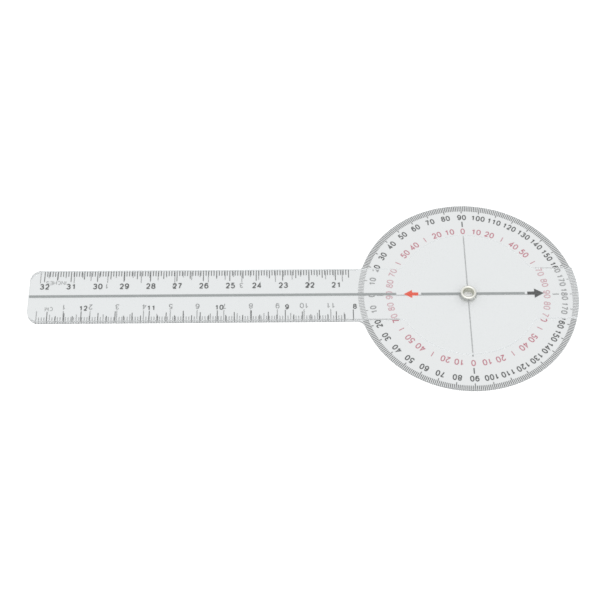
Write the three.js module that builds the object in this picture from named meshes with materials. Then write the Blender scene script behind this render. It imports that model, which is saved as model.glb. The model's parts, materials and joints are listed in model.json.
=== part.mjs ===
// Clear plastic 360-degree goniometer, folded shut: a stationary arm that ends in a protractor disc,
// a moving arm that lies on top of it, and the tubular eyelet that both turn on.
// Millimetres. X runs along the arms, which point to -X. Y crosses them. Z is up.
// The origin is under the middle of the folded tool, on the plane of its lowest point.

import * as THREE from 'three';
import { mergeVertices } from 'three/addons/utils/BufferGeometryUtils.js';

// Sheets
const SHEET_THICKNESS = 1.1;
const SHEET_GAP = 0.12;
const ARM_WIDTH = 22.7;
const ARM_REACH = 165.3;
const ARM_END_RADIUS = 4.5;
const DISC_RADIUS = 41.5;
const DISC_FILLET_RADIUS = 3;
const HUB_RADIUS = 26.8;
const HUB_FILLET_RADIUS = 3;

// Eyelet: one tube of sheet metal, with a flange at the back and its front end rolled outwards
const EYELET_WALL = 0.3;
const BORE_RADIUS = 1.9;
const FLANGE_RADIUS = 3.4;
const FLANGE_DROP = 0.5;
const FLANGE_BEND_RADIUS = 0.45;
const ROLL_HALF_WIDTH = 0.58;
const ROLL_HEIGHT = 0.5;
const RUNNING_CLEARANCE = 0.05;

// Facets
const ARC_TOLERANCE = 0.02;
const EYELET_SIDES = 60;
const BEND_STEPS = 6;

// Derived sizes
const ARM_HALF_WIDTH = ARM_WIDTH / 2;
const EYELET_OUTER_RADIUS = BORE_RADIUS + EYELET_WALL;
const PIVOT_HOLE_RADIUS = EYELET_OUTER_RADIUS + RUNNING_CLEARANCE;
const STATIONARY_BOTTOM = FLANGE_DROP;
const MOVING_BOTTOM = STATIONARY_BOTTOM + SHEET_THICKNESS + SHEET_GAP;
const MOVING_TOP = MOVING_BOTTOM + SHEET_THICKNESS;
const PIVOT_X = (ARM_REACH - DISC_RADIUS) / 2;

const CLEAR_SHEET = { color: 0xe6ebeb, roughness: 0.12, metalness: 0, transparent: true, opacity: 0.4 };
const NICKEL = { color: 0xcfccc0, roughness: 0.3, metalness: 1 };

// Adds a circular arc to an outline, with chords that stay within the tolerance of the true curve.
// The sweep is anticlockwise when it is positive.
function addArc(outline, centreX, centreY, radius, start, sweep) {
  const step = 2 * Math.acos(1 - ARC_TOLERANCE / radius);
  const count = Math.max(2, Math.ceil(Math.abs(sweep) / step));
  for (let i = 0; i <= count; i += 1) {
    const angle = start + (sweep * i) / count;
    outline.push(new THREE.Vector2(centreX + radius * Math.cos(angle), centreY + radius * Math.sin(angle)));
  }
}

// Where an arm's straight edges run into a round end about the pivot: the fillet's centre and its angle.
function filletToRound(roundRadius, filletRadius) {
  const y = ARM_HALF_WIDTH + filletRadius;
  const x = Math.sqrt((roundRadius + filletRadius) ** 2 - y ** 2);
  return { x, y, angle: Math.atan2(y, x) };
}

// The rounded far end of an arm, from its +Y edge round to its -Y edge.
function addArmEnd(outline) {
  const x = ARM_END_RADIUS - ARM_REACH;
  const y = ARM_HALF_WIDTH - ARM_END_RADIUS;
  addArc(outline, x, y, ARM_END_RADIUS, Math.PI / 2, Math.PI / 2);
  addArc(outline, x, -y, ARM_END_RADIUS, Math.PI, Math.PI / 2);
}

function stationaryOutline() {
  const fillet = filletToRound(DISC_RADIUS, DISC_FILLET_RADIUS);
  const bend = Math.PI / 2 - fillet.angle;
  const outline = [];
  addArmEnd(outline);
  addArc(outline, -fillet.x, -fillet.y, DISC_FILLET_RADIUS, Math.PI / 2, -bend);
  addArc(outline, 0, 0, DISC_RADIUS, fillet.angle - Math.PI, 2 * (Math.PI - fillet.angle));
  addArc(outline, -fillet.x, fillet.y, DISC_FILLET_RADIUS, -fillet.angle, -bend);
  return outline;
}

function movingOutline() {
  const fillet = filletToRound(HUB_RADIUS, HUB_FILLET_RADIUS);
  const bend = Math.PI / 2 - fillet.angle;
  const hubSweep = Math.PI - 2 * fillet.angle;
  const tailAngle = Math.asin(ARM_HALF_WIDTH / DISC_RADIUS);
  const outline = [];
  addArmEnd(outline);
  addArc(outline, -fillet.x, -fillet.y, HUB_FILLET_RADIUS, Math.PI / 2, -bend);
  addArc(outline, 0, 0, HUB_RADIUS, fillet.angle - Math.PI, hubSweep);
  addArc(outline, fillet.x, -fillet.y, HUB_FILLET_RADIUS, Math.PI - fillet.angle, -bend);
  addArc(outline, 0, 0, DISC_RADIUS, -tailAngle, 2 * tailAngle);
  addArc(outline, fillet.x, fillet.y, HUB_FILLET_RADIUS, -Math.PI / 2, -bend);
  addArc(outline, 0, 0, HUB_RADIUS, fillet.angle, hubSweep);
  addArc(outline, -fillet.x, fillet.y, HUB_FILLET_RADIUS, -fillet.angle, -bend);
  return outline;
}

function pivotHole() {
  const rim = [];
  for (let i = 0; i < EYELET_SIDES; i += 1) {
    const angle = (2 * Math.PI * i) / EYELET_SIDES;
    rim.push(new THREE.Vector2(Math.cos(angle), Math.sin(angle)).multiplyScalar(PIVOT_HOLE_RADIUS));
  }
  return new THREE.Path(rim);
}

function sheetGeometry(outline) {
  const shape = new THREE.Shape(outline);
  shape.holes.push(pivotHole());
  return new THREE.ExtrudeGeometry(shape, { depth: SHEET_THICKNESS, bevelEnabled: false });
}

// Adds a bend of the eyelet's wall, seen in section as radius from the pivot against height.
function addBend(section, centre, radius, start, sweep, bendHeight = radius) {
  for (let i = 0; i <= BEND_STEPS; i += 1) {
    const angle = start + (sweep * i) / BEND_STEPS;
    const across = radius * Math.cos(angle);
    const up = bendHeight * Math.sin(angle);
    section.push(new THREE.Vector2(centre.x + across, centre.y + up));
  }
}

// The eyelet's wall in section: up the bore, over the rolled front end, and down the outside to the flange,
// then turned round so that the lathe's faces point outwards.
function eyeletSection() {
  const rollCentre = new THREE.Vector2(BORE_RADIUS + ROLL_HALF_WIDTH, MOVING_TOP + RUNNING_CLEARANCE);
  const innerHalfWidth = ROLL_HALF_WIDTH - EYELET_WALL;
  const innerHeight = ROLL_HEIGHT - EYELET_WALL;
  const innerBend = FLANGE_BEND_RADIUS - EYELET_WALL / 2;
  const outerBend = FLANGE_BEND_RADIUS + EYELET_WALL / 2;
  const bendCentre = new THREE.Vector2(BORE_RADIUS + outerBend, outerBend);
  const rimBend = EYELET_WALL / 2;
  const rimCentre = new THREE.Vector2(FLANGE_RADIUS - rimBend, rimBend);
  const section = [];
  addBend(section, bendCentre, outerBend, -Math.PI / 2, -Math.PI / 2);
  addBend(section, rollCentre, ROLL_HALF_WIDTH, Math.PI, -Math.PI, ROLL_HEIGHT);
  addBend(section, rollCentre, innerHalfWidth, 0, Math.PI, innerHeight);
  addBend(section, bendCentre, innerBend, -Math.PI, Math.PI / 2);
  addBend(section, rimCentre, rimBend, Math.PI / 2, -Math.PI);
  section.push(section[0].clone());
  return section.reverse();
}

function eyeletGeometry() {
  const lathe = new THREE.LatheGeometry(eyeletSection(), EYELET_SIDES);
  return lathe.rotateX(Math.PI / 2);
}

function addPart(group, name, geometry, look, height = 0) {
  geometry.deleteAttribute('normal');
  geometry.deleteAttribute('uv');
  const mesh = new THREE.Mesh(mergeVertices(geometry), new THREE.MeshStandardMaterial(look));
  mesh.name = name;
  mesh.position.z = height;
  group.add(mesh);
}

const goniometer = new THREE.Group();
const pivotFrame = new THREE.Group();
pivotFrame.position.x = PIVOT_X;
goniometer.add(pivotFrame);

addPart(pivotFrame, 'protractor_arm', sheetGeometry(stationaryOutline()), CLEAR_SHEET, STATIONARY_BOTTOM);
addPart(pivotFrame, 'moving_arm', sheetGeometry(movingOutline()), CLEAR_SHEET, MOVING_BOTTOM);
addPart(pivotFrame, 'pivot_eyelet', eyeletGeometry(), NICKEL);

export default goniometer;
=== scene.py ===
# Clear plastic goniometer: two printed clear sheets that turn on a tubular eyelet.
# Shapes are worked out in millimetres with the pivot as origin (X along the arms, which point to -X,
# Y across them, Z up from the table) and are written to meshes in metres in the frame's own coordinates.

import json
import math

import bpy
from mathutils import Matrix, Vector
from mathutils.geometry import delaunay_2d_cdt, tessellate_polygon

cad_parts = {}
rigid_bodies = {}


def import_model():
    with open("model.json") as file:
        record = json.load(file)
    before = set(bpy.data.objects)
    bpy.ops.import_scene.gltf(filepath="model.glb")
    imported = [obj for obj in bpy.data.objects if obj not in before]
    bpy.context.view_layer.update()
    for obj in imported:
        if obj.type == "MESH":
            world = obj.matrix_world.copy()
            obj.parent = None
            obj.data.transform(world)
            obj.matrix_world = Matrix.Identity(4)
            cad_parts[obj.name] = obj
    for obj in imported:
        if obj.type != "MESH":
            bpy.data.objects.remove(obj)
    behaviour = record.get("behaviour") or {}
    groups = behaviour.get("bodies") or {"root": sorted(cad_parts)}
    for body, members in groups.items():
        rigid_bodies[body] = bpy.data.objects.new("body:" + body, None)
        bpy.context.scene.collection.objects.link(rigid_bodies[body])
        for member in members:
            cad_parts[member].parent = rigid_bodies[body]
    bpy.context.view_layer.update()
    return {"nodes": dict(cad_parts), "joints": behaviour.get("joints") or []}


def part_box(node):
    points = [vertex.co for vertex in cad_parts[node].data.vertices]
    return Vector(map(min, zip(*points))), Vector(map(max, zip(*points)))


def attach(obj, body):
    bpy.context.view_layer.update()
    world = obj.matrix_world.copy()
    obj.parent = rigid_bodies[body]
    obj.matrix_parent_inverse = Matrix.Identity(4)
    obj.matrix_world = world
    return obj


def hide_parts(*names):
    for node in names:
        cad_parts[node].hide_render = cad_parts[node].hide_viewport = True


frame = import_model()

MM = 0.001
TAU = 2 * math.pi

# ---------------------------------------------------------------- sizes from the frame, in millimetres

joint = frame["joints"][0]
PIVOT = Vector((joint["pos_m"][0], joint["pos_m"][1], 0))
STATIONARY = joint["parent"]
MOVING = joint["child"]


def box_mm(node):
    low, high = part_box(node)
    return (low - PIVOT) / MM, (high - PIVOT) / MM


lower_low, lower_high = box_mm("protractor_arm")
upper_low, upper_high = box_mm("moving_arm")
_, eyelet_high = box_mm("pivot_eyelet")

ARM_REACH = -lower_low.x
DISC_RADIUS = lower_high.y
HUB_RADIUS = upper_high.y
LOWER_BOTTOM, LOWER_TOP = lower_low.z, lower_high.z
UPPER_BOTTOM, UPPER_TOP = upper_low.z, upper_high.z
FLANGE_RADIUS = eyelet_high.y
EYELET_TOP = eyelet_high.z


def arm_half_width(node):
    """Half the arm's width, read halfway between the disc and the arm's far end."""
    middle = PIVOT.x - (ARM_REACH + DISC_RADIUS) / 2 * MM
    return max(v.co.y for v in frame["nodes"][node].data.vertices if v.co.x < middle) / MM


def bore_radius(node):
    return min((v.co - PIVOT).xy.length for v in frame["nodes"][node].data.vertices) / MM


HALF_WIDTH = arm_half_width("protractor_arm")
SHEET_HOLE_RADIUS = bore_radius("protractor_arm")
BORE_RADIUS = bore_radius("pivot_eyelet")

# ---------------------------------------------------------------- shape details, in millimetres

END_RADIUS = 4.5
FILLET_RADIUS = 3.0
SHEET_EDGE_RADIUS = 0.18
EDGE_STEPS = 5
ARC_STEP = 0.45

EYELET_WALL = 0.3
EYELET_ROLL_HALF_WIDTH = 0.58
EYELET_ROLL_FOOT = 0.05
EYELET_BEND_RADIUS = 0.45
EYELET_SIDES = 144
BEND_STEPS = 12

# How far the ink reaches into the sheet it is printed on, and how far it stands off it
INK_DEPTH = 0.01
INK_HEIGHT = 0.022

SAME_POINT = 1e-4

# ---------------------------------------------------------------- meshes


def to_frame(points):
    return [PIVOT + Vector(p) * MM for p in points]


def make_piece(name, points, faces, body, materials, face_materials=None, smooth=None):
    """A mesh object from points in millimetres, riding on a body of the frame."""
    mesh = bpy.data.meshes.new(name)
    mesh.from_pydata(to_frame(points), [], faces)
    for material in materials:
        mesh.materials.append(material)
    if face_materials:
        mesh.polygons.foreach_set("material_index", face_materials)
    if smooth:
        mesh.polygons.foreach_set("use_smooth", smooth)
    mesh.update()
    piece = bpy.data.objects.new(name, mesh)
    bpy.context.scene.collection.objects.link(piece)
    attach(piece, body)
    return piece


# ---------------------------------------------------------------- clear sheets

# A sheet's materials in order. The inner edge is the cut edge where it lies within the disc,
# nearer the pivot than the disc's own rim by more than this band.
TOP_FACE, UNDERSIDE, CUT_EDGE, INNER_EDGE = range(4)
DISC_EDGE_BAND = 0.1


def arc(centre_x, centre_y, radius, start, sweep):
    count = max(3, math.ceil(abs(sweep) * radius / ARC_STEP))
    angles = [start + sweep * i / count for i in range(count + 1)]
    return [Vector((centre_x + radius * math.cos(a), centre_y + radius * math.sin(a))) for a in angles]


def fillet_to_round(round_radius):
    """Where the straight edges of an arm run into a round end: the fillet's centre and its angle."""
    y = HALF_WIDTH + FILLET_RADIUS
    x = math.sqrt((round_radius + FILLET_RADIUS) ** 2 - y ** 2)
    return x, y, math.atan2(y, x)


def arm_end():
    x = END_RADIUS - ARM_REACH
    y = HALF_WIDTH - END_RADIUS
    return arc(x, y, END_RADIUS, TAU / 4, TAU / 4) + arc(x, -y, END_RADIUS, TAU / 2, TAU / 4)


def without_repeats(outline):
    kept = []
    for point in outline:
        if not kept or (point - kept[-1]).length > SAME_POINT:
            kept.append(point)
    if (kept[0] - kept[-1]).length < SAME_POINT:
        kept.pop()
    return kept


def protractor_outline():
    x, y, angle = fillet_to_round(DISC_RADIUS)
    bend = TAU / 4 - angle
    return without_repeats(
        arm_end()
        + arc(-x, -y, FILLET_RADIUS, TAU / 4, -bend)
        + arc(0, 0, DISC_RADIUS, angle - TAU / 2, TAU - 2 * angle)
        + arc(-x, y, FILLET_RADIUS, -angle, -bend)
    )


def moving_outline():
    x, y, angle = fillet_to_round(HUB_RADIUS)
    bend = TAU / 4 - angle
    round_sweep = TAU / 2 - 2 * angle
    tail_angle = math.asin(HALF_WIDTH / DISC_RADIUS)
    return without_repeats(
        arm_end()
        + arc(-x, -y, FILLET_RADIUS, TAU / 4, -bend)
        + arc(0, 0, HUB_RADIUS, angle - TAU / 2, round_sweep)
        + arc(x, -y, FILLET_RADIUS, TAU / 2 - angle, -bend)
        + arc(0, 0, DISC_RADIUS, -tail_angle, 2 * tail_angle)
        + arc(x, y, FILLET_RADIUS, -TAU / 4, -bend)
        + arc(0, 0, HUB_RADIUS, angle, round_sweep)
        + arc(-x, y, FILLET_RADIUS, -angle, -bend)
    )


def inset(outline, distance):
    """The outline moved inwards (to its left, as it runs anticlockwise) with mitred corners."""
    moved = []
    for i, point in enumerate(outline):
        before = (point - outline[i - 1]).normalized()
        after = (outline[(i + 1) % len(outline)] - point).normalized()
        left_before = Vector((-before.y, before.x))
        left_after = Vector((-after.y, after.x))
        middle = (left_before + left_after).normalized()
        moved.append(point + middle * distance / middle.dot(left_before))
    return moved


def edge_profile(bottom, top):
    """Rounded edge of a sheet in section: pairs of inset and height, from the underside to the top."""
    r = SHEET_EDGE_RADIUS
    turn = [TAU / 4 * i / EDGE_STEPS for i in range(EDGE_STEPS + 1)]
    lower = [(r - r * math.sin(a), bottom + r - r * math.cos(a)) for a in turn]
    upper = [(r - r * math.cos(a), top - r + r * math.sin(a)) for a in turn]
    return lower + upper


def add_rings(points, loop, profile):
    """Adds a ring of points for each step of an edge's profile, and gives the numbers of each ring."""
    rings = []
    for distance, height in profile:
        rings.append(range(len(points), len(points) + len(loop)))
        ring = inset(loop, distance) if distance else loop
        points += [(p.x, p.y, height) for p in ring]
    return rings


def edge_faces(loop, rings):
    """Quads between the rings of an edge, each with its material."""
    for lower, upper in zip(rings, rings[1:]):
        for i in range(len(loop)):
            j = (i + 1) % len(loop)
            within_disc = loop[i].length < DISC_RADIUS - DISC_EDGE_BAND
            yield (lower[i], lower[j], upper[j], upper[i]), INNER_EDGE if within_disc else CUT_EDGE


def flat_faces(points, loops, upwards):
    """Triangles that fill an outline round its hole, facing upwards or down."""
    order = loops[0] + loops[1]
    flat = [[Vector((points[i][0], points[i][1], 0)) for i in loop] for loop in loops]
    for a, b, c in tessellate_polygon(flat):
        corners = [Vector(points[order[k]]).xy for k in (a, b, c)]
        faces_up = (corners[1] - corners[0]).cross(corners[2] - corners[0]) > 0
        yield (order[a], order[b], order[c]) if faces_up == upwards else (order[a], order[c], order[b])


def make_sheet(name, node, outline, bottom, top, body, materials):
    """A flat sheet with rounded edges and a pivot hole. Its materials are in the order named above."""
    hole = list(reversed(arc(0, 0, SHEET_HOLE_RADIUS, 0, TAU)[:-1]))
    points, faces, slots = [], [], []
    undersides, tops = [], []
    for loop, profile in ((outline, edge_profile(bottom, top)), (hole, [(0, bottom), (0, top)])):
        rings = add_rings(points, loop, profile)
        for face, slot in edge_faces(loop, rings):
            faces.append(face)
            slots.append(slot)
        undersides.append(list(rings[0]))
        tops.append(list(rings[-1]))
    smooth = [True] * len(faces)
    for loops, upwards, slot in ((undersides, False, UNDERSIDE), (tops, True, TOP_FACE)):
        for triangle in flat_faces(points, loops, upwards):
            faces.append(triangle)
            slots.append(slot)
            smooth.append(False)
    sheet = make_piece(name, points, faces, body, materials, slots, smooth)
    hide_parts(node)


# ---------------------------------------------------------------- eyelet


def bend(centre, radius, start, sweep, height=None):
    """Points of a bend in section, round a centre given as radius and height from the table."""
    angles = [start + sweep * i / BEND_STEPS for i in range(BEND_STEPS + 1)]
    across, up = radius, height or radius
    return [(centre[0] + across * math.cos(a), centre[1] + up * math.sin(a)) for a in angles]


def eyelet_section():
    """The eyelet's wall as radius and height: up the bore, over the rolled lip, and down to the flange."""
    roll_centre = (BORE_RADIUS + EYELET_ROLL_HALF_WIDTH, UPPER_TOP + EYELET_ROLL_FOOT)
    roll_height = EYELET_TOP - roll_centre[1]
    under_half_width = EYELET_ROLL_HALF_WIDTH - EYELET_WALL
    under_height = roll_height - EYELET_WALL
    inner_bend = EYELET_BEND_RADIUS - EYELET_WALL / 2
    outer_bend = EYELET_BEND_RADIUS + EYELET_WALL / 2
    bend_centre = (BORE_RADIUS + outer_bend, outer_bend)
    rim = EYELET_WALL / 2
    return (
        bend(bend_centre, outer_bend, -TAU / 4, -TAU / 4)
        + bend(roll_centre, EYELET_ROLL_HALF_WIDTH, TAU / 2, -TAU / 2, roll_height)
        + bend(roll_centre, under_half_width, 0, TAU / 2, under_height)
        + bend(bend_centre, inner_bend, -TAU / 2, TAU / 4)
        + bend((FLANGE_RADIUS - rim, rim), rim, TAU / 4, -TAU / 2)
    )


def make_eyelet(material):
    section = eyelet_section()
    count = len(section)
    points, faces = [], []
    for i in range(EYELET_SIDES):
        angle = TAU * i / EYELET_SIDES
        points += [(r * math.cos(angle), r * math.sin(angle), z) for r, z in section]
        here, there = i * count, (i + 1) % EYELET_SIDES * count
        for k in range(count):
            m = (k + 1) % count
            faces.append((here + k, here + m, there + m, there + k))
    eyelet = make_piece("eyelet", points, faces, STATIONARY, [material],
                        smooth=[True] * len(faces))
    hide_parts("pivot_eyelet")


# ---------------------------------------------------------------- lettering
# Each character is one or more pen strokes on a square from (0, 0) at its lower left to (1, 1).
# The distances below are in heights of a character.


def sweep_points(centre_x, centre_y, radius_x, radius_y, start, end, steps=18):
    """Points on an ellipse between two angles in degrees."""
    angles = [math.radians(start + (end - start) * i / steps) for i in range(steps + 1)]
    return [(centre_x + radius_x * math.cos(a), centre_y + radius_y * math.sin(a)) for a in angles]


def quadratic(p, q, r, steps=8):
    """Points on a curve from p to r that is pulled towards q."""
    ts = [i / steps for i in range(steps + 1)]
    return [tuple((1 - t) ** 2 * a + 2 * t * (1 - t) * b + t * t * c for a, b, c in zip(p, q, r))
            for t in ts]


def turned(strokes):
    return [[(1 - x, 1 - y) for x, y in stroke] for stroke in strokes]


SIX = [
    sweep_points(0.5, 0.315, 0.5, 0.315, 180, 540, 28),
    sweep_points(0.53, 0.55, 0.43, 0.45, 32, 90, 8)
    + sweep_points(0.53, 0.47, 0.53, 0.53, 90, 180, 12)[1:]
    + [(0, 0.315)],
]
STROKES = {
    "0": [sweep_points(0.5, 0.62, 0.5, 0.38, 0, 180) + sweep_points(0.5, 0.38, 0.5, 0.38, 180, 360)
          + [(1, 0.62)]],
    "1": [[(0.62, 0), (0.62, 1)], quadratic((0.62, 0.98), (0.5, 0.78), (0.12, 0.74), 5)],
    "2": [sweep_points(0.5, 0.7, 0.46, 0.3, 172, -15, 16)
          + quadratic((0.93, 0.6), (0.86, 0.45), (0.05, 0.03), 6) + [(0.02, 0)],
          [(-0.02, 0), (1, 0)]],
    "3": [sweep_points(0.47, 0.755, 0.42, 0.245, 165, -90, 16),
          sweep_points(0.47, 0.27, 0.5, 0.27, 90, -165, 18),
          [(0.32, 0.53), (0.5, 0.53)]],
    "4": [[(0.7, 0), (0.7, 1), (-0.02, 0.28), (1.04, 0.28)]],
    "5": [[(0.93, 1), (0.22, 1), (0.09, 0.5)],
          sweep_points(0.48, 0.32, 0.5, 0.33, 144, -162, 20)],
    "6": SIX,
    "7": [[(0, 1), (1, 1)], quadratic((1, 1), (0.48, 0.52), (0.33, 0), 7)],
    "8": [sweep_points(0.5, 0.765, 0.42, 0.235, 0, 360, 24),
          sweep_points(0.5, 0.27, 0.5, 0.27, 0, 360, 28)],
    "9": turned(SIX),
    "C": [sweep_points(0.52, 0.5, 0.5, 0.5, 48, 312, 24)],
    "E": [[(1, 1), (0, 1), (0, 0), (1, 0)], [(0, 0.52), (0.9, 0.52)]],
    "H": [[(0, 0), (0, 1)], [(1, 0), (1, 1)], [(0, 0.52), (1, 0.52)]],
    "I": [[(0.5, 0), (0.5, 1)]],
    "M": [[(0, 0), (0, 1), (0.5, 0.08), (1, 1), (1, 0)]],
    "N": [[(0, 0), (0, 1), (1, 0), (1, 1)]],
    "S": [sweep_points(0.5, 0.75, 0.46, 0.25, 15, 255, 16)
          + sweep_points(0.5, 0.26, 0.5, 0.26, 75, -165, 18)],
}
# Width of a character beside its height: a digit's, and each letter's
DIGIT_WIDTH = 0.64
LETTER_WIDTHS = {"I": 0.2, "M": 0.86, "C": 0.76, "N": 0.74, "H": 0.74, "E": 0.66, "S": 0.68}
GLYPH_GAP = 0.11

ENDS_MEET = 1e-6
SAME_STROKE_POINT = 1e-5
SHARPEST_MITRE = 0.4
INSIDE_ONLY = 1


def stroke_quads(points, weight):
    """A pen stroke as quads. It is closed if its ends meet; otherwise its ends are cut square."""
    closed = math.dist(points[0], points[-1]) < ENDS_MEET
    line = [Vector(p) for p in points]
    kept = [line[0]]
    for p in line[1:]:
        if (p - kept[-1]).length > SAME_STROKE_POINT:
            kept.append(p)
    if closed:
        kept.pop()
    count = len(kept)
    sides = []
    for i, p in enumerate(kept):
        before = kept[i - 1] if i or closed else None
        after = kept[(i + 1) % count] if i < count - 1 or closed else None
        into = (p - before).normalized() if before else (after - p).normalized()
        out = (after - p).normalized() if after else into
        normal_in, normal_out = Vector((-into.y, into.x)), Vector((-out.y, out.x))
        middle = (normal_in + normal_out).normalized()
        reach = weight / 2 / max(middle.dot(normal_in), SHARPEST_MITRE)
        sides.append((p + middle * reach, p - middle * reach))
    last = count if closed else count - 1
    return [(sides[i][0], sides[i][1], sides[(i + 1) % count][1], sides[(i + 1) % count][0])
            for i in range(last)]


def filled(quads):
    """Triangles covering all the quads once: (points, triangles)."""
    points, faces = [], []
    for quad in quads:
        a, b, c, d = quad
        turn = (c - a).cross(d - b)
        faces.append([len(points) + k for k in ((0, 1, 2, 3) if turn > 0 else (3, 2, 1, 0))])
        points += [a, b, c, d]
    joined = delaunay_2d_cdt(points, [], faces, INSIDE_ONLY, SAME_STROKE_POINT)
    points, _, faces, _, _, origins = joined
    return points, [tuple(face) for face, origin in zip(faces, origins) if origin]


glyphs = {}


def glyph(character, weight):
    """A character one unit tall as triangles, with its width. The weight is its stroke's."""
    key = (character, weight)
    if key not in glyphs:
        width = LETTER_WIDTHS.get(character, DIGIT_WIDTH)
        inner_x, inner_y = max(width - weight, 0), 1 - weight
        quads = []
        for stroke in STROKES[character]:
            placed = [(weight / 2 + x * inner_x, weight / 2 + y * inner_y) for x, y in stroke]
            quads += stroke_quads(placed, weight)
        glyphs[key] = (*filled(quads), width)
    return glyphs[key]


class Print:
    """Slabs of ink on one face of a sheet, gathered into one mesh."""

    def __init__(self, bottom, top):
        self.bottom, self.top = bottom, top
        self.points, self.faces = [], []

    def add(self, points, triangles):
        """Adds a flat patch of triangles as a closed slab."""
        base, count = len(self.points), len(points)
        self.points += [(p[0], p[1], self.bottom) for p in points]
        self.points += [(p[0], p[1], self.top) for p in points]
        edges = {}
        for triangle in triangles:
            self.faces.append(tuple(base + count + k for k in triangle))
            self.faces.append(tuple(base + k for k in reversed(triangle)))
            for k, a in enumerate(triangle):
                edges[a, triangle[(k + 1) % len(triangle)]] = True
        for a, b in edges:
            if (b, a) not in edges:
                self.faces.append((base + a, base + b, base + count + b, base + count + a))

    def bar(self, x0, y0, x1, y1, thickness):
        """A straight line of ink between two points."""
        start, end = Vector((x0, y0)), Vector((x1, y1))
        along = (end - start).normalized()
        side = Vector((-along.y, along.x)) * thickness / 2
        self.add([start - side, end - side, end + side, start + side], [(0, 1, 2, 3)])

    def text(self, string, x, y, height, weight, angle=0.0):
        """A string centred on a point, its tops turned to the angle (0 is +Y, anticlockwise)."""
        shapes = [glyph(character, weight) for character in string]
        total = sum(width for *_, width in shapes) + GLYPH_GAP * (len(shapes) - 1)
        turn = Matrix.Rotation(angle, 2)
        left = -total / 2
        for points, triangles, width in shapes:
            placed = [turn @ (Vector((p.x + left, p.y - 0.5)) * height) + Vector((x, y)) for p in points]
            self.add(placed, triangles)
            left += width + GLYPH_GAP

    def outline(self, corners):
        """A filled polygon with its corners anticlockwise."""
        self.add(corners, [tuple(range(len(corners)))])

    def piece(self, name, body, slot, material):
        return make_piece(name, self.points, self.faces, body, [material])


def lower_print():
    return Print(LOWER_BOTTOM - INK_HEIGHT, LOWER_BOTTOM + INK_DEPTH)


def upper_print():
    return Print(UPPER_BOTTOM - INK_HEIGHT, UPPER_BOTTOM + INK_DEPTH)


def polar(radius, degrees):
    return radius * math.cos(math.radians(degrees)), radius * math.sin(math.radians(degrees))


# ---------------------------------------------------------------- print on the disc

TICK_TO_RIM = 0.03
DEGREE_TICK = (39.3, DISC_RADIUS - TICK_TO_RIM)
TEN_DEGREE_TICK_START = 38.4
TICK_WIDTH = 0.33
OUTER_DIGIT_RADIUS = 36.35
OUTER_DIGIT_HEIGHT = 2.5
INNER_DIGIT_RADIUS = 29.75
INNER_DIGIT_HEIGHT = 2.6
INNER_TICK = (28.6, 30.8)
AXIS_DASH = (31.85, 34.3)
PRINT_TO_HOLE = 0.2
LINE_START = SHEET_HOLE_RADIUS + PRINT_TO_HOLE
CROSS_LINE_RADIUS = 27.0
CROSS_LINE_WIDTH = 0.46
INNER_TICK_WIDTH = 0.3

# Stroke weights beside the height of a character
BOLD = 0.185
REGULAR = 0.155


def disc_scale():
    ticks = lower_print()
    for degree in range(360):
        start = TEN_DEGREE_TICK_START if degree % 10 == 0 else DEGREE_TICK[0]
        ticks.bar(*polar(start, degree), *polar(DEGREE_TICK[1], degree), TICK_WIDTH)
    return ticks


def disc_outer_digits():
    """0 on the arm's side, up to 180 opposite it, over both halves of the disc."""
    digits = lower_print()
    for degree in range(0, 360, 10):
        value = abs(180 - degree)
        x, y = polar(OUTER_DIGIT_RADIUS, degree)
        digits.text(str(value), x, y, OUTER_DIGIT_HEIGHT, BOLD, math.radians(degree - 90))
    return digits


def disc_inner_digits():
    """0 at right angles to the arm, up to 90 along it. 30 and 60 are marked by lines."""
    digits = lower_print()
    for degree in range(0, 360, 10):
        value = abs(90 - degree % 180)
        x, y = polar(INNER_DIGIT_RADIUS, degree)
        if value in (30, 60):
            digits.bar(*polar(INNER_TICK[0], degree), *polar(INNER_TICK[1], degree), INNER_TICK_WIDTH)
        else:
            digits.text(str(value), x, y, INNER_DIGIT_HEIGHT, REGULAR, math.radians(degree - 90))
    return digits


def disc_fine_lines():
    lines = lower_print()
    for degree in (0, 90, 180, 270):
        lines.bar(*polar(LINE_START, degree), *polar(CROSS_LINE_RADIUS, degree), CROSS_LINE_WIDTH)
    return lines


def disc_axis_dashes():
    dashes = lower_print()
    for degree in (0, 90, 180, 270):
        dashes.bar(*polar(AXIS_DASH[0], degree), *polar(AXIS_DASH[1], degree), CROSS_LINE_WIDTH)
    return dashes


# ---------------------------------------------------------------- print on the arms

RULE_TO_EDGE = 0.15
RULE_END = HALF_WIDTH - RULE_TO_EDGE
INCH = 25.4
RULE_WIDTH = 0.32


def rule(ink, side, places, lengths):
    """Ruler marks that run in from one edge. places gives each mark's X and kind."""
    for x, kind in places:
        ink.bar(x, side * (RULE_END - lengths[kind]), x, side * RULE_END, RULE_WIDTH)


def marks(start, step, first, last, per_unit):
    """Marks numbered in the smallest division, from first to last, with what kind each is."""
    for i in range(first, last + 1):
        if i % per_unit == 0:
            kind = "whole"
        elif i * 2 % per_unit == 0:
            kind = "half"
        elif i * 4 % per_unit == 0:
            kind = "quarter"
        else:
            kind = "fine"
        yield start + step * i, kind


def number_row(ink, numbers, start, step, row, weight, angle=0.0):
    """Numbers beside their marks. A row is the distance along X from the mark, the Y and the height."""
    shift, y, height = row
    for number in numbers:
        ink.text(str(number), start + step * number + shift, y, height, weight, angle)


MOVING_CM_START = 160.15
MOVING_INCH_START = 159.7
MOVING_CM_TICKS = {"whole": 4.7, "half": 3.6, "quarter": 2.3, "fine": 2.3}
MOVING_INCH_TICKS = {"whole": 4.5, "half": 4.4, "quarter": 3.7, "fine": 2.4}
MOVING_CM_ROW = (0.25, 4.4, 2.6)
MOVING_INCH_ROW = (0.65, -5.35, 2.3)


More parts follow.
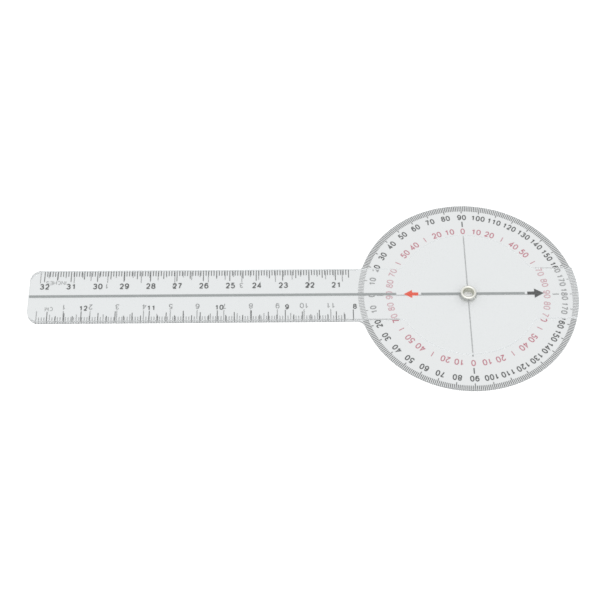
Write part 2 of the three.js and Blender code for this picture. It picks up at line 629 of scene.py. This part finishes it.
def moving_arm_rules():
    ink = upper_print()
    rule(ink, 1, marks(MOVING_CM_START, -1, 205, 320, 10), MOVING_CM_TICKS)
    rule(ink, -1, marks(MOVING_INCH_START, -INCH / 8, 64, 100, 8), MOVING_INCH_TICKS)
    number_row(ink, range(21, 33), MOVING_CM_START, -10, MOVING_CM_ROW, BOLD)
    number_row(ink, range(8, 13), MOVING_INCH_START, -INCH, MOVING_INCH_ROW, BOLD)
    return ink


# The centre line runs from just inside the arm's end to the hub, and goes on beside the eyelet
CENTRE_LINE = (0.2 - ARM_REACH, -27.1)
CENTRE_LINE_WIDTH = 1.16
HUB_LINES = ((-17.8, -LINE_START), (LINE_START, 21.3))
HUB_LINE_WIDTH = 1.1


def moving_arm_line():
    ink = upper_print()
    ink.bar(CENTRE_LINE[0], 0, CENTRE_LINE[1], 0, CENTRE_LINE_WIDTH)
    for start, end in HUB_LINES:
        ink.bar(start, 0, end, 0, HUB_LINE_WIDTH)
    return ink


def arrow(ink, tip, head_rear, tail, head_height, shaft):
    """An arrow along X that points from its tail to its tip."""
    corners = [
        (tip, 0), (head_rear, head_height / 2), (head_rear, shaft / 2), (tail, shaft / 2),
        (tail, -shaft / 2), (head_rear, -shaft / 2), (head_rear, -head_height / 2),
    ]
    ink.outline(corners if tip < tail else list(reversed(corners)))


def red_pointer():
    ink = upper_print()
    arrow(ink, tip=-24.3, head_rear=-21.1, tail=-18.8, head_height=3.7, shaft=1.4)
    return ink


def black_pointer():
    ink = upper_print()
    arrow(ink, tip=28.55, head_rear=24.9, tail=22.25, head_height=4.2, shaft=1.45)
    return ink


STATIONARY_CM_START = -161.9
STATIONARY_INCH_START = -161.5
STATIONARY_CM_TICKS = {"whole": 5.2, "half": 3.6, "quarter": 2.4, "fine": 2.4}
STATIONARY_INCH_TICKS = {"whole": 4.8, "half": 4.8, "quarter": 3.7, "fine": 2.4}
STATIONARY_CM_ROW = (0.1, -4.35, 2.4)
STATIONARY_INCH_ROW = (-0.15, 4.95, 2.3)
# Each word's middle in X and Y, and its height
WORDS = {"INCHES": (-155.5, 6.6, 1.75), "CM": (-157.4, -5.15, 1.8)}


def stationary_arm_rules():
    """Numbered from the arm's end, and read from its far side."""
    ink = lower_print()
    rule(ink, -1, marks(STATIONARY_CM_START, 1, 0, 115, 10), STATIONARY_CM_TICKS)
    rule(ink, 1, marks(STATIONARY_INCH_START, INCH / 8, 0, 36, 8), STATIONARY_INCH_TICKS)
    half_turn = TAU / 2
    number_row(ink, range(1, 12), STATIONARY_CM_START, 10, STATIONARY_CM_ROW, REGULAR, half_turn)
    number_row(ink, range(1, 5), STATIONARY_INCH_START, INCH, STATIONARY_INCH_ROW, REGULAR, half_turn)
    for word, (x, y, height) in WORDS.items():
        ink.text(word, x, y, height, REGULAR, half_turn)
    return ink


# ---------------------------------------------------------------- materials

# Where a mix node keeps its colour sockets, which share their names with its number sockets
MIX_FIRST_COLOUR, MIX_SECOND_COLOUR, MIX_COLOUR_OUT = 6, 7, 2


class Nodes:
    """A material's node tree, with short ways to add and join nodes."""

    def __init__(self, name):
        self.material = bpy.data.materials.new(name)
        self.material.use_nodes = True
        self.tree = self.material.node_tree
        self.tree.nodes.clear()

    def node(self, kind, inputs=None, **settings):
        made = self.tree.nodes.new(kind)
        for key, value in settings.items():
            setattr(made, key, value)
        for key, value in (inputs or {}).items():
            self.feed(made.inputs[key], value)
        return made

    def feed(self, socket, value):
        if isinstance(value, bpy.types.NodeSocket):
            self.tree.links.new(value, socket)
        else:
            socket.default_value = value

    def noise(self, scale, detail=3.0, stretch=(1, 1, 1)):
        place = self.node("ShaderNodeTexCoord")
        fitted = self.node("ShaderNodeMapping", {"Vector": place.outputs["Object"], "Scale": stretch})
        made = self.node("ShaderNodeTexNoise",
                         {"Vector": fitted.outputs[0], "Scale": scale, "Detail": detail})
        return made.outputs["Fac"]

    def between(self, factor, low, high, span=(0.3, 0.7)):
        """A number that goes from low to high as the factor crosses the span."""
        made = self.node("ShaderNodeMapRange", {
            "Value": factor, "From Min": span[0], "From Max": span[1], "To Min": low, "To Max": high})
        return made.outputs[0]

    def tint(self, factor, first, second):
        """A mix of two colours, each given as red, green and blue or as another node's output."""
        mix = self.node("ShaderNodeMix", {"Factor": factor}, data_type="RGBA")
        for number, colour in ((MIX_FIRST_COLOUR, first), (MIX_SECOND_COLOUR, second)):
            linked = isinstance(colour, bpy.types.NodeSocket)
            self.feed(mix.inputs[number], colour if linked else (*colour, 1))
        return mix.outputs[MIX_COLOUR_OUT]

    def bump(self, height, distance, strength=1.0):
        made = self.node("ShaderNodeBump", {"Height": height, "Distance": distance, "Strength": strength})
        return made.outputs[0]

    def open_to_light(self, shader, share=1):
        """Lets that share of soft light and shadow rays straight through. At 1 it throws no shade."""
        path = self.node("ShaderNodeLightPath")
        clear = self.node("ShaderNodeBsdfTransparent", {"Color": (1, 1, 1, 1)}).outputs[0]
        for ray in ("Is Diffuse Ray", "Is Shadow Ray"):
            passed = self.node("ShaderNodeMath", {0: path.outputs[ray], 1: share}, operation="MULTIPLY")
            parts = {0: passed.outputs[0], 1: shader, 2: clear}
            shader = self.node("ShaderNodeMixShader", parts).outputs[0]
        return shader

    def finish(self, shader):
        self.node("ShaderNodeOutputMaterial", {"Surface": shader})
        return self.material


SHEET_TINT = (0.95, 0.955, 0.955)
SHEET_IOR = 1.49
SCATTER_COLOURS = ((0.845, 0.868, 0.87), (0.85, 0.868, 0.882))
HAZE_SPREAD = 0.04


def scattering(n, glow, white):
    """A pale surface that scatters light. Part of it may come through from behind."""
    first, second = ([channel * white for channel in colour] for colour in SCATTER_COLOURS)
    colour = n.tint(n.noise(scale=30, detail=2), first, second)
    scatter = n.node("ShaderNodeBsdfDiffuse", {"Color": colour}).outputs[0]
    if glow:
        behind = n.node("ShaderNodeBsdfTranslucent", {"Color": colour}).outputs[0]
        scatter = n.node("ShaderNodeMixShader", {0: glow, 1: scatter, 2: behind}).outputs[0]
    return scatter


def clear_plastic(name, haze, glow=0, white=1):
    """Clear sheet. Haze is the share of a face that scatters light, as a scuffed underside does.
    Glow is the part of that light which comes through from behind, as in a cut edge, and white is how much
    paler the scattered light is; a white above 1 is a painted highlight."""
    n = Nodes(name)
    ripple = n.noise(scale=60, detail=2)
    scuffs = n.noise(scale=900, detail=4, stretch=(0.12, 1, 1))
    roughness = n.between(scuffs, low=0.02, high=0.07)
    glass = n.node("ShaderNodeBsdfPrincipled", {
        "Base Color": (*SHEET_TINT, 1), "Roughness": roughness, "IOR": SHEET_IOR,
        "Transmission Weight": 1.0, "Normal": n.bump(ripple, distance=0.00002, strength=0.4),
    }, distribution="GGX")
    shader = glass.outputs[0]
    if haze:
        patches = n.noise(scale=45, detail=3)
        share = n.between(patches, low=haze * (1 - HAZE_SPREAD), high=haze * (1 + HAZE_SPREAD))
        scatter = scattering(n, glow, white)
        shader = n.node("ShaderNodeMixShader", {0: share, 1: shader, 2: scatter}).outputs[0]
    return n.finish(n.open_to_light(shader))


INK_IOR = 1.45


def ink(name, colour, worn):
    """Screen-printed ink: thin spots show a little paler, and the film throws no shade of its own."""
    n = Nodes(name)
    thin = n.between(n.noise(scale=2600, detail=3), low=0, high=1, span=(0.42, 0.8))
    roughness = n.between(n.noise(scale=1500, detail=2), low=0.38, high=0.6)
    grain = n.bump(n.noise(scale=4000, detail=2), distance=0.000004, strength=0.5)
    film = n.node("ShaderNodeBsdfPrincipled", {
        "Base Color": n.tint(thin, colour, worn), "Roughness": roughness, "IOR": INK_IOR,
        "Normal": grain})
    return n.finish(n.open_to_light(film.outputs[0]))


PLATE_COLOURS = ((0.95, 0.95, 0.9), (0.88, 0.88, 0.82))
# Painted shade: the bore and the lip's inner slope are a little darker and yellower than the plate
BORE_SHADE_COLOUR = (0.9, 0.9, 0.8)
# How far outside the bore its painted shade starts and stops giving way to the plate's colour
BORE_SHADE_BLEND = (0.05, 0.45)
EYELET_LIGHT_PASSED = 0.55


def nickel(name):
    """Nickel plate on the eyelet: drawn marks along the bore, a little duller in patches, and painted
    shade in the bore.
    """
    n = Nodes(name)
    patches = n.noise(scale=700, detail=3)
    drawn_marks = n.noise(scale=1400, detail=4, stretch=(1, 1, 0.15))
    plate = n.tint(patches, *PLATE_COLOURS)
    place = n.node("ShaderNodeTexCoord").outputs["Object"]
    from_axis = n.node("ShaderNodeVectorMath", {0: place, 1: tuple(PIVOT)}, operation="SUBTRACT")
    flat = n.node("ShaderNodeVectorMath", {0: from_axis.outputs[0], 1: (1, 1, 0)}, operation="MULTIPLY")
    radius = n.node("ShaderNodeVectorMath", {0: flat.outputs[0]}, operation="LENGTH").outputs["Value"]
    # Painted shade in the bore, giving way to the plate's colour outside it
    blend = [(BORE_RADIUS + distance) * MM for distance in BORE_SHADE_BLEND]
    lip = n.between(radius, low=0, high=1, span=blend)
    metal = n.node("ShaderNodeBsdfPrincipled", {
        "Base Color": n.tint(lip, BORE_SHADE_COLOUR, plate),
        "Metallic": 1.0, "Roughness": n.between(drawn_marks, low=0.2, high=0.36),
        "Normal": n.bump(drawn_marks, distance=0.00001, strength=0.5)})
    return n.finish(n.open_to_light(metal.outputs[0], EYELET_LIGHT_PASSED))


# ---------------------------------------------------------------- build

SHEET_HAZE = 0.24
EDGE_HAZE = 0.25
EDGE_GLOW = 0.6
# Painted highlight: the cut edge within the disc scatters more and paler light, for the light line along
# the hub's edge
INNER_EDGE_HAZE = 0.75
INNER_EDGE_PAINTED_HIGHLIGHT = 1.13

clear_face = clear_plastic("clear_sheet", 0)
hazed_face = clear_plastic("clear_sheet_underside", SHEET_HAZE)
cut_edge = clear_plastic("clear_sheet_edge", EDGE_HAZE, EDGE_GLOW)
inner_edge = clear_plastic("clear_sheet_inner_edge_painted_highlight", INNER_EDGE_HAZE, EDGE_GLOW, INNER_EDGE_PAINTED_HIGHLIGHT)
black_ink = ink("black_ink", (0.055, 0.058, 0.058), (0.11, 0.115, 0.115))
grey_ink = ink("grey_ink", (0.28, 0.3, 0.3), (0.36, 0.38, 0.38))
fine_ink = ink("fine_line_ink", (0.2, 0.21, 0.21), (0.3, 0.31, 0.31))
red_ink = ink("red_ink", (0.45, 0.12, 0.17), (0.54, 0.2, 0.25))
pointer_ink = ink("pointer_red_ink", (0.72, 0.08, 0.04), (0.78, 0.14, 0.09))

make_sheet("protractor_sheet", "protractor_arm", protractor_outline(), LOWER_BOTTOM, LOWER_TOP,
           STATIONARY, [clear_face, hazed_face, cut_edge, cut_edge])
make_sheet("moving_sheet", "moving_arm", moving_outline(), UPPER_BOTTOM, UPPER_TOP,
           MOVING, [clear_face, hazed_face, cut_edge, inner_edge])
make_eyelet(nickel("nickel_plate"))

disc_scale().piece("disc_degree_marks", STATIONARY, "black_ink", black_ink)
disc_outer_digits().piece("disc_outer_digits", STATIONARY, "black_ink", black_ink)
disc_inner_digits().piece("disc_inner_digits", STATIONARY, "red_ink", red_ink)
disc_fine_lines().piece("disc_cross_lines", STATIONARY, "grey_ink", fine_ink)
disc_axis_dashes().piece("disc_axis_dashes", STATIONARY, "black_ink", black_ink)
stationary_arm_rules().piece("stationary_arm_rules", STATIONARY, "black_ink", black_ink)
moving_arm_rules().piece("moving_arm_rules", MOVING, "black_ink", black_ink)
moving_arm_line().piece("moving_arm_line", MOVING, "grey_ink", grey_ink)
red_pointer().piece("red_pointer", MOVING, "pointer_red_ink", pointer_ink)
black_pointer().piece("black_pointer", MOVING, "black_ink", black_ink)

# ---------------------------------------------------------------- stage, light and camera

FLOOR_SIZE = 6.0
WORLD_LIGHT = 0.84
WALL_LIGHT = 0.5
WALL_SPAN = (0, 0.7)
PANEL_LIGHT = 1.0
PANEL_SPAN = (0.9, 0.97)
FLOOR_SEEN_PLAIN = (1.1, 1.1, 1.1)
# Painted shade: the floor's colour wherever it is seen through the sheets or in a reflection, not straight
# on
FLOOR_PAINTED_SHADE_UNDER_SHEET = (0.735 * 0.985, 0.735, 0.735 * 1.003)


def make_floor():
    """Pale paper. Seen through the clear sheets it is painted a little darker than beside them: painted
    shade under the sheets.
    """
    half = FLOOR_SIZE / 2
    mesh = bpy.data.meshes.new("floor")
    corners = [(-half, -half), (half, -half), (half, half), (-half, half)]
    mesh.from_pydata([(x, y, 0) for x, y in corners], [], [(0, 1, 2, 3)])
    n = Nodes("floor")
    seen_plain = n.node("ShaderNodeLightPath").outputs["Is Camera Ray"]
    colour = n.tint(seen_plain, FLOOR_PAINTED_SHADE_UNDER_SHEET, FLOOR_SEEN_PLAIN)
    mesh.materials.append(n.finish(n.node("ShaderNodeBsdfDiffuse", {"Color": colour}).outputs[0]))
    floor = bpy.data.objects.new("floor", mesh)
    bpy.context.scene.collection.objects.link(floor)


def ramp(tree, value, span, levels):
    """A number that goes from one level to the other as the value crosses the span."""
    made = tree.nodes.new("ShaderNodeMapRange")
    for name, number in zip(("From Min", "From Max", "To Min", "To Max"), (*span, *levels)):
        made.inputs[name].default_value = number
    tree.links.new(value, made.inputs["Value"])
    return made.outputs[0]


def make_world():
    """An even white studio. Metal also sees its darker walls low down, and a bright panel overhead."""
    world = bpy.data.worlds.new("studio")
    bpy.context.scene.world = world
    world.use_nodes = True
    tree = world.node_tree
    background = tree.nodes["Background"]
    place = tree.nodes.new("ShaderNodeTexCoord")
    split = tree.nodes.new("ShaderNodeSeparateXYZ")
    tree.links.new(place.outputs["Generated"], split.inputs[0])
    walls = ramp(tree, split.outputs["Z"], WALL_SPAN, (WALL_LIGHT, WORLD_LIGHT))
    panel = ramp(tree, split.outputs["Z"], PANEL_SPAN, (0, PANEL_LIGHT))
    both = tree.nodes.new("ShaderNodeMath")
    tree.links.new(walls, both.inputs[0])
    tree.links.new(panel, both.inputs[1])
    strength = tree.nodes.new("ShaderNodeMix")
    strength.inputs["A"].default_value = WORLD_LIGHT
    tree.links.new(both.outputs[0], strength.inputs["B"])
    path = tree.nodes.new("ShaderNodeLightPath")
    tree.links.new(path.outputs["Is Glossy Ray"], strength.inputs["Factor"])
    tree.links.new(strength.outputs[0], background.inputs["Strength"])
    background.inputs["Color"].default_value = (1, 1, 1, 1)
    world.cycles.sampling_method = "NONE"


def make_sun(name, towards, angle, strength):
    """A broad lamp far away, shining in the direction given. Mirrors and clear sheets don't show it."""
    lamp = bpy.data.lights.new(name, "SUN")
    lamp.angle = math.radians(angle)
    lamp.energy = strength
    holder = bpy.data.objects.new(name, lamp)
    holder.rotation_euler = Vector(towards).to_track_quat("-Z", "Y").to_euler()
    holder.visible_glossy = False
    holder.visible_transmission = False
    bpy.context.scene.collection.objects.link(holder)


CAMERA_AZIMUTH = 0.81
CAMERA_ELEVATION = 56.7
CAMERA_ROLL = 0.27
CAMERA_LENS = 93.8
CAMERA_SENSOR = 36
CAMERA_NEAREST = 0.01
CAMERA_DISTANCE = 0.5887
CAMERA_AIM = Vector((-0.00145, -0.00127, 0.0005))


def make_camera():
    azimuth, elevation, roll = (math.radians(a) for a in (CAMERA_AZIMUTH, CAMERA_ELEVATION, CAMERA_ROLL))
    level = math.cos(elevation)
    forward = Vector((math.sin(azimuth) * level, math.cos(azimuth) * level, -math.sin(elevation)))
    right = Vector((math.cos(azimuth), -math.sin(azimuth), 0))
    up = right.cross(forward)
    turned_right = right * math.cos(roll) + up * math.sin(roll)
    turned_up = up * math.cos(roll) - right * math.sin(roll)
    data = bpy.data.cameras.new("camera")
    data.lens = CAMERA_LENS
    data.sensor_width = CAMERA_SENSOR
    data.clip_start = CAMERA_NEAREST
    camera = bpy.data.objects.new("camera", data)
    place = CAMERA_AIM - forward * CAMERA_DISTANCE
    axes = Matrix((turned_right, turned_up, -forward)).transposed().to_4x4()
    camera.matrix_world = Matrix.Translation(place) @ axes
    bpy.context.scene.collection.objects.link(camera)
    bpy.context.scene.camera = camera


make_floor()
make_world()
make_sun("key", towards=(-0.3, -0.5, -1), angle=60, strength=1.0)
make_camera()
bpy.context.scene.view_settings.view_transform = "Standard"

LIGHT_BOUNCES = 24
cycles = bpy.context.scene.cycles
cycles.denoising_prefilter = "ACCURATE"
cycles.sample_clamp_indirect = 1.0
cycles.filter_width = 1.65
cycles.min_light_bounces = 8
cycles.min_transparent_bounces = 16
cycles.max_bounces = LIGHT_BOUNCES
cycles.transmission_bounces = LIGHT_BOUNCES
cycles.glossy_bounces = LIGHT_BOUNCES
cycles.transparent_max_bounces = LIGHT_BOUNCES
